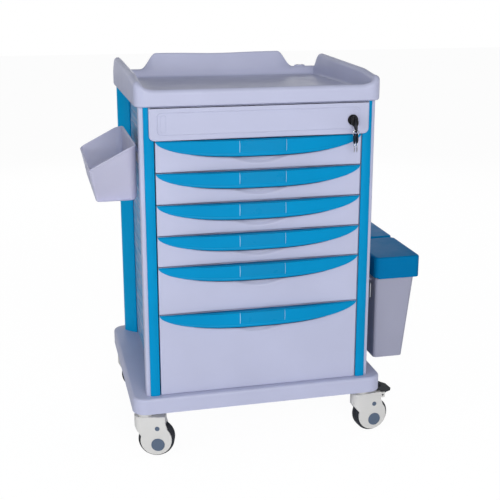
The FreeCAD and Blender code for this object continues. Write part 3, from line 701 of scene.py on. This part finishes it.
def side_box():
    """Open box with a taper, a slanted rim with a bead, and rounded outer corners."""
    turns = [math.pi / 2 * k / 4 for k in range(5)]
    rings = [side_box_ring(0.06 * (1 - math.cos(a)), 6.5 * (1 - math.sin(a))) for a in turns]
    rings += [side_box_ring(v, 0.0) for v in (0.25, 0.45, 0.65, 0.82, 0.93)]
    rim_and_inside = ((0.955, 0.0), (0.965, -1.0), (0.985, -1.3), (1.0, -0.6), (1.004, 1.0), (0.998, 2.6),
                      (0.98, 3.0), (0.7, 3.0), (0.3, 3.2), (0.1, 5.0), (0.03, 9.0), (0.02, 14.0))
    rings += [side_box_ring(v, d) for v, d in rim_and_inside]
    return loft(rings)


piece("side_box_shell", *side_box(), "side_box", box_plastic, "body_plastic", ("side_box",))
hook = [(-303.5, 828), (-303.5, 848.2), (-304.5, 849), (-317.5, 849), (-317.5, 845.4), (-306.5, 845.4),
        (-306.5, 828)]
rings = [[(x, y, z) for x, z in hook] for y in (90, 90.8, 349.2, 350)]
piece("side_box_hook", *loft(rings), "side_box", box_plastic, "body_plastic")


# ---- key ring, spare keys and the key's head ----
LOCK_X, RING_Y, RING_Z, RING_R = 245.0, -41.0, 894.1, 8.0
RING_WIRE_R, RING_TURNS, RING_STEPS, RING_SIDES = 0.85, 1.5, 60, 8
HEAD_LENGTH, HEAD_HALF_W, HEAD_HALF_T = 27.0, 7.3, 1.5
BOW_CENTRE, BOW_HALF_W, BOW_HALF_H = (LOCK_X + 1.5, 921.5), 10.0, 14.6
BOW_LEAN = (0.94, 0.34)                 # cosine and sine of its lean


def ring_wire():
    """Split ring: one and a half turns of round wire."""
    rings = []
    for k in range(RING_STEPS + 1):
        a = 2 * math.pi * RING_TURNS * k / RING_STEPS
        lift = 0.75 * (k / RING_STEPS - 0.5) * 2
        centre = Vector((LOCK_X + RING_R * math.cos(a), RING_Y + lift, RING_Z + RING_R * math.sin(a)))
        out = Vector((math.cos(a), 0, math.sin(a)))
        ring = []
        for m in range(RING_SIDES):
            b = 2 * math.pi * m / RING_SIDES
            level = Vector((0, RING_WIRE_R * math.sin(b), 0))
            ring.append(tuple(centre + out * RING_WIRE_R * math.cos(b) + level))
        rings.append(ring)
    return loft(rings)


def spare_key(offset):
    """Black head with a hole for the ring, and a notched blade."""
    x = LOCK_X + offset
    top = RING_Z - math.sqrt(RING_R ** 2 - offset ** 2) + 6.0
    middle = top - HEAD_LENGTH / 2
    outer, inner = [], []
    for k in range(28):
        a = 2 * math.pi * k / 28
        waist = 1 - 0.18 * math.cos(a) ** 2
        outer.append((RING_Y + HEAD_HALF_W * math.sin(a) * waist, middle + HEAD_LENGTH / 2 * math.cos(a)))
        inner.append((RING_Y + 2.5 * math.sin(a), top - 6.0 + 2.5 * math.cos(a)))
    loops = ((HEAD_HALF_T, inner), (HEAD_HALF_T, outer), (-HEAD_HALF_T, outer), (-HEAD_HALF_T, inner),
             (HEAD_HALF_T, inner))
    head = loft([[(x + w, y, z) for y, z in loop] for w, loop in loops], capped=False)
    teeth = [(-3, 25), (-3, 47), (-1.4, 49), (1.2, 48.4), (2.2, 46), (1.0, 43.5), (2.6, 41), (1.4, 38),
             (2.8, 35.5), (1.8, 33), (3, 31), (3, 25)]
    blade = loft([[(x + w, RING_Y + y, top - down) for y, down in teeth] for w in (-1.0, 1.0)])
    return head, blade


def key_bow():
    """Folded black head of the key in the lock: a leaning oval with a soft rim."""
    outline = []
    for u, v in oval((0.0, 0.0), (BOW_HALF_W, BOW_HALF_H), 10):
        outline.append((BOW_CENTRE[0] + BOW_LEAN[0] * u - BOW_LEAN[1] * v,
                        BOW_CENTRE[1] + BOW_LEAN[1] * u + BOW_LEAN[0] * v))
    return pillow(outline, 20.0, 30.0, 3.5, facing_front)


heads, blades = zip(*(spare_key(offset) for offset in (-3.5, 3.5)))
piece("key_ring_wire", *ring_wire(), "key_ring", chrome_metal, "chrome_metal", ("key_ring",))
piece("spare_key_heads", *together(*heads), "key_ring", key_black, "key_black")
piece("spare_key_blades", *together(*blades), "key_ring", chrome_metal, "chrome_metal")
piece("key_bow", *key_bow(), "lock_key", key_black, "key_black")


# ---- small fittings that the plain solids leave out ----
def dome(centre, radius, height, way, steps=24):
    """Pan head: a low dome standing on a face; way is the direction it stands out."""
    way = Vector(way).normalized()
    side = way.orthogonal().normalized()
    other = way.cross(side)
    rings = []
    for r, h in ((1.0, 0.0), (1.0, 0.35), (0.93, 0.62), (0.75, 0.85), (0.45, 0.97), (0.2, 1.0)):
        ring = []
        for k in range(steps):
            a = 2 * math.pi * k / steps
            ring.append(tuple(Vector(centre) + (side * math.cos(a) + other * math.sin(a)) * radius * r
                              + way * height * h))
        rings.append(ring)
    return loft(rings)


BACK_Y = 539.0                          # the back panel's outer face
SCREW_Y = BACK_Y + 0.2                  # the screw heads stand a little clear of it
screws = [dome((x, SCREW_Y, z), 4.2, 2.0, (0, 1, 0)) for x in (-262, 0, 262) for z in (212, 580, 950)]
piece("back_panel_screws", *together(*screws), "cabinet", zinc_steel, "zinc_steel")
panel = rounded_rectangle((-250, 250), (232, 935), (12, 12, 12, 12))
panel_path = [(u, BACK_Y, v) for u, v in panel]
bead("back_panel_rib", panel_path, 2.4, "cabinet", body_plastic, "body_plastic", flatten=0.35)


# ---- studio ----
def area_light(name, place, target, size, power, colour=(1, 1, 1)):
    """Soft light in row metres, aimed at a target point."""
    data = bpy.data.lights.new(name, "AREA")
    data.shape = "RECTANGLE"
    data.size, data.size_y = size
    data.energy = power
    data.color = colour
    light = bpy.data.objects.new(name, data)
    light.location = place
    light.rotation_euler = (Vector(target) - Vector(place)).to_track_quat("-Z", "Y").to_euler()
    bpy.context.scene.collection.objects.link(light)


FLOOR_HALF, FLOOR_STEPS = 14.0, 8
FLOOR_GLOW, FLOOR_GLOW_SHARE = 1.03, 0.93


def floor():
    """Pale level floor, kept near white where it is seen."""
    material, tree, principled = shader("floor_paint", Roughness=0.75)
    patches = spread(tree, noise(tree, 1.5, 3.0), 0.0, 1.0)
    tree.links.new(blend_colours(tree, patches, (0.90, 0.90, 0.905), (0.93, 0.93, 0.935)),
                   principled.inputs["Base Color"])
    glow = tree.nodes.new("ShaderNodeEmission")
    glow.inputs["Strength"].default_value = FLOOR_GLOW
    seen = tree.nodes.new("ShaderNodeMixShader")
    path = tree.nodes.new("ShaderNodeLightPath")
    share = tree.nodes.new("ShaderNodeMath")
    share.operation = "MULTIPLY"
    share.inputs[1].default_value = FLOOR_GLOW_SHARE
    tree.links.new(path.outputs["Is Camera Ray"], share.inputs[0])
    tree.links.new(share.outputs[0], seen.inputs[0])
    tree.links.new(principled.outputs[0], seen.inputs[1])
    tree.links.new(glow.outputs[0], seen.inputs[2])
    tree.links.new(seen.outputs[0], tree.nodes["Material Output"].inputs["Surface"])
    mesh = bpy.data.meshes.new("floor")
    lines = [FLOOR_HALF * (2 * k / FLOOR_STEPS - 1) for k in range(FLOOR_STEPS + 1)]
    points = [(x, y, 0.0) for y in lines for x in lines]
    wide = FLOOR_STEPS + 1
    corners = [j * wide + i for j in range(FLOOR_STEPS) for i in range(FLOOR_STEPS)]
    faces = [(a, a + 1, a + wide + 1, a + wide) for a in corners]
    mesh.from_pydata(points, [], faces)
    mesh.materials.append(material)
    obj = bpy.data.objects.new("floor", mesh)
    bpy.context.scene.collection.objects.link(obj)


def studio_world():
    """White seen by the camera, softer white as the light all round."""
    world = bpy.data.worlds.new("studio")
    world.use_nodes = True
    tree = world.node_tree
    seen = tree.nodes["Background"]
    seen.inputs["Color"].default_value = (1, 1, 1, 1)
    seen.inputs["Strength"].default_value = 1.0
    ambient = tree.nodes.new("ShaderNodeBackground")
    ambient.inputs["Color"].default_value = (0.96, 0.97, 1.0, 1)
    ambient.inputs["Strength"].default_value = 0.26
    mirrored = tree.nodes.new("ShaderNodeBackground")
    mirrored.inputs["Strength"].default_value = 0.10
    path = tree.nodes.new("ShaderNodeLightPath")
    unseen = tree.nodes.new("ShaderNodeMixShader")
    tree.links.new(path.outputs["Is Glossy Ray"], unseen.inputs[0])
    tree.links.new(ambient.outputs[0], unseen.inputs[1])
    tree.links.new(mirrored.outputs[0], unseen.inputs[2])
    mix = tree.nodes.new("ShaderNodeMixShader")
    tree.links.new(path.outputs["Is Camera Ray"], mix.inputs[0])
    tree.links.new(unseen.outputs[0], mix.inputs[1])
    tree.links.new(seen.outputs[0], mix.inputs[2])
    tree.links.new(mix.outputs[0], tree.nodes["World Output"].inputs[0])
    bpy.context.scene.world = world


floor()
studio_world()
area_light("key", (0.0, -3.7, 1.7), (0.0, 0.0, 0.6), (1.8, 1.8), 78, (1.0, 0.985, 0.97))
area_light("top", (0.3, 0.2, 3.4), (0.0, 0.0, 0.6), (2.6, 2.6), 8)
area_light("back", (-1.2, 3.6, 1.6), (0.0, 0.0, 0.6), (2.4, 2.0), 14)
area_light("left", (-3.2, -1.7, 1.3), (0.0, 0.0, 0.5), (1.8, 1.2), 34)
area_light("right", (3.6, 1.2, 1.3), (0.0, 0.0, 0.4), (2.0, 1.6), 13)
area_light("rear", (1.0, 3.8, 1.5), (0.0, 0.0, 0.5), (2.0, 1.6), 16)

camera_data = bpy.data.cameras.new("camera")
camera_data.sensor_width = 36.0
camera_data.lens = 67.7
camera_data.shift_y = -0.05
camera = bpy.data.objects.new("camera", camera_data)
camera.location = metres((-583.2, -2335.6, 1285.4))
camera.rotation_mode = "QUATERNION"
look = Vector((0.2236, 0.9408, -0.2547))
camera.rotation_quaternion = look.to_track_quat("-Z", "Y")
bpy.context.scene.collection.objects.link(camera)
bpy.context.scene.camera = camera
bpy.context.scene.view_settings.view_transform = "Standard"
